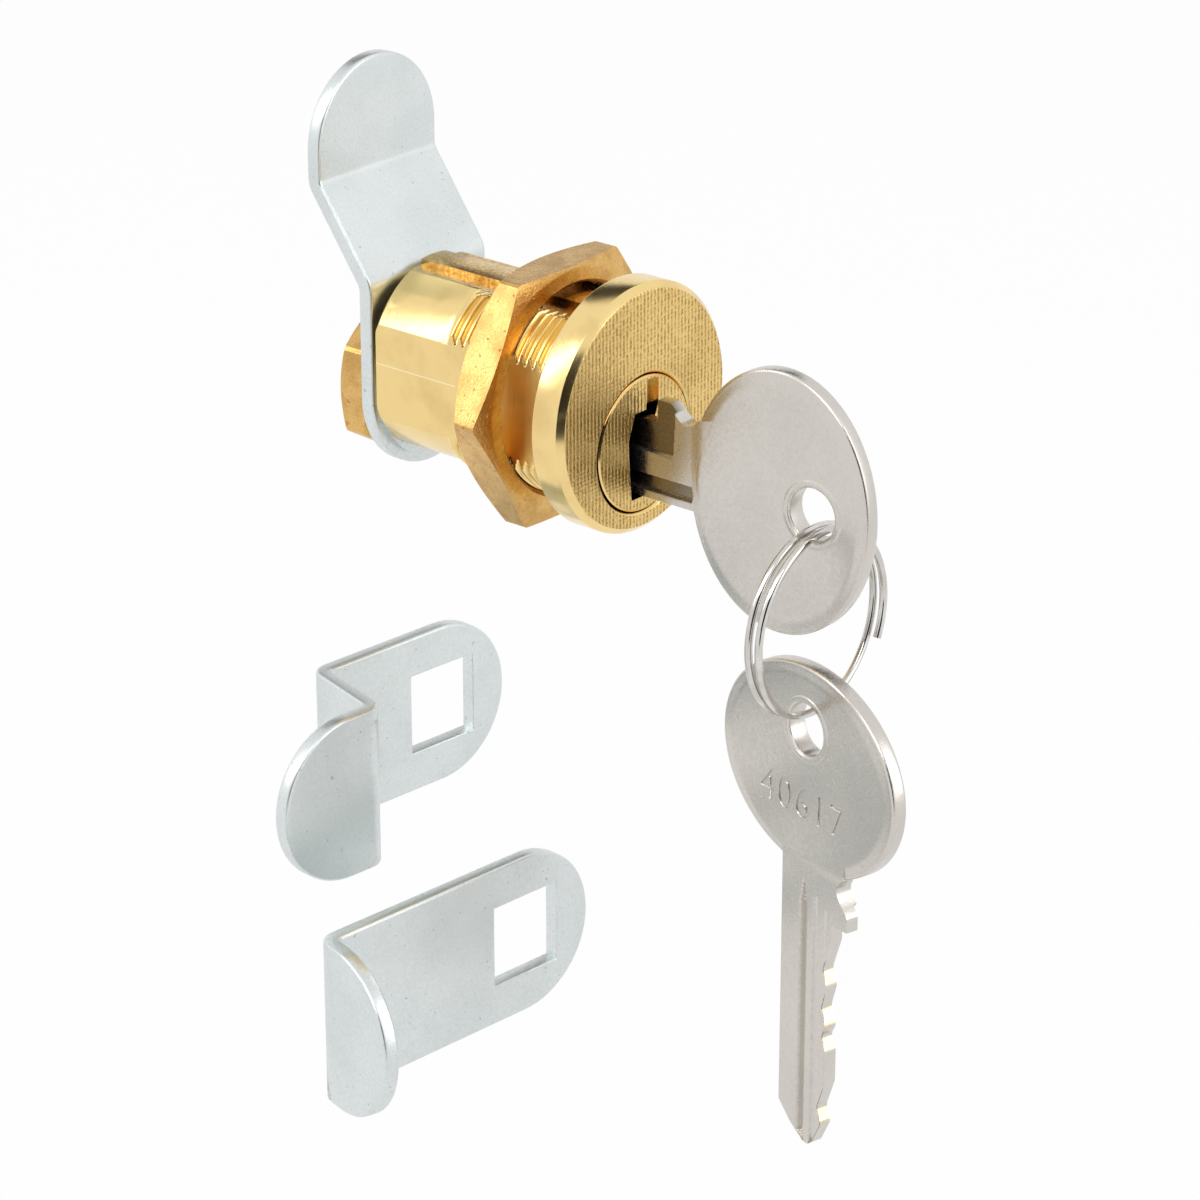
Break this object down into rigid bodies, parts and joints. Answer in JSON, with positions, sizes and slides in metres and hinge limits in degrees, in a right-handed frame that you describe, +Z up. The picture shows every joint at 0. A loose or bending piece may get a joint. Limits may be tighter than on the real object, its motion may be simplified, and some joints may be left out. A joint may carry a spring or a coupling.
{
  "type": "mailbox lock",
  "caption": "Brass mailbox cam lock with hex nut, offset cam, key on a split ring with a second key, and two spare cams.",
  "frame": {"origin": "middle of the flange's rear face, on the barrel's axis, where the lock seats on the door", "axes": "+Y runs along the barrel from front to rear, +Z is up as the lock hangs in its door, +X is to the right seen from the front"},
  "size_m": [0.0531, 0.0664, 0.0966],
  "materials": {
    "brass": "machined, satin",
    "zinc_plate": "zinc plated, soft sheen",
    "nickel": "nickel plated, satin",
    "nickel_wire": "nickel plated, bright",
    "spring_wire": "bright spring wire"
  },
  "bodies": {
    "body": {"lock_body": "brass", "chamber_strip": "brass", "spare_z_cam": "zinc_plate", "spare_l_cam": "zinc_plate", "pin_spring_1": "spring_wire", "pin_spring_2": "spring_wire", "pin_spring_3": "spring_wire", "pin_spring_4": "spring_wire", "pin_spring_5": "spring_wire"},
    "plug": {"plug": "brass", "stop_washer": "zinc_plate", "locking_cam": "zinc_plate", "cam_nut": "brass"},
    "key_pins": {"key_pin_1": "brass", "key_pin_2": "brass", "key_pin_3": "brass", "key_pin_4": "brass", "key_pin_5": "brass"},
    "driver_pins": {"driver_pin_1": "brass", "driver_pin_2": "brass", "driver_pin_3": "brass", "driver_pin_4": "brass", "driver_pin_5": "brass"},
    "mounting_nut": {"mounting_nut": "brass"},
    "key": {"key_in_lock": "nickel"},
    "ring": {"split_ring": "nickel_wire"},
    "second_key": {"second_key": "nickel"}
  },
  "joints": [
    {"name": "plug_turn", "type": "hinge", "parent": "body", "child": "plug", "pos_m": [0, 0, -0.00336], "axis": [0, 1, 0], "range_deg": [0, 90]},
    {"name": "key_pins_drop", "type": "slide", "parent": "plug", "child": "key_pins", "axis": [0, 0, 1], "range_m": [-0.00065, 0]},
    {"name": "driver_pins_drop", "type": "slide", "parent": "body", "child": "driver_pins", "axis": [0, 0, 1], "range_m": [-0.00065, 0], "deforming": ["pin_spring_1", "pin_spring_2", "pin_spring_3", "pin_spring_4", "pin_spring_5"]},
    {"name": "nut_travel", "type": "slide", "parent": "body", "child": "mounting_nut", "axis": [0, 1, 0], "range_m": [-0.0048, 0.0048]},
    {"name": "key_slide", "type": "slide", "parent": "plug", "child": "key", "axis": [0, -1, 0], "range_m": [0, 0.026]},
    {"name": "ring_swing", "type": "hinge", "parent": "key", "child": "ring", "pos_m": [0, -0.0235, -0.00496], "axis": [1, 0, 0], "range_deg": [-60, 12]},
    {"name": "second_key_swing", "type": "hinge", "parent": "ring", "child": "second_key", "pos_m": [0, -0.0235, -0.02601], "axis": [-0.9686, 0.2487, 0], "range_deg": [-35, 45]}
  ],
  "couplings": [
    {"joint": "key_pins_drop", "follows": "driver_pins_drop", "ratio": 1}
  ]
}
